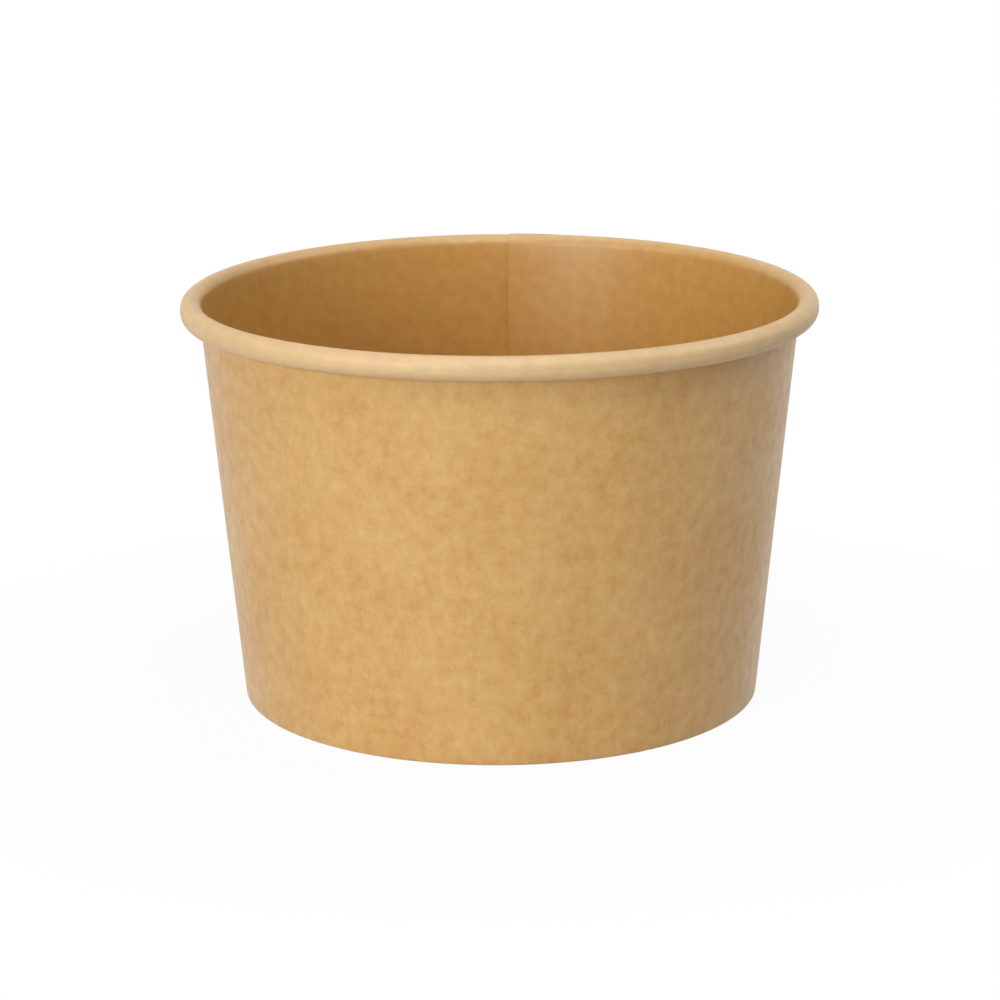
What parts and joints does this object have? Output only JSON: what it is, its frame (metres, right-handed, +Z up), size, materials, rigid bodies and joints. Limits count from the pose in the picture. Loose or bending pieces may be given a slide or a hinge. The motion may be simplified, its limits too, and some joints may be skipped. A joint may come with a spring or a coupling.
{
  "type": "paper ice cream tub",
  "caption": "Round tapered paperboard tub for ice cream, open at the top, with a rolled rim, an overlapped side seam and a recessed bottom inside a folded foot.",
  "frame": {"origin": "centre of the foot, on the plane the tub stands on", "axes": "+Z up along the tub's axis; the side seam is on the +Y side, and -Y is the plain front"},
  "size_m": [0.096, 0.096, 0.062],
  "materials": {
    "kraft_board": "matte"
  },
  "bodies": {
    "root": {"side_wall": "kraft_board", "bottom_disc": "kraft_board"}
  },
  "joints": []
}
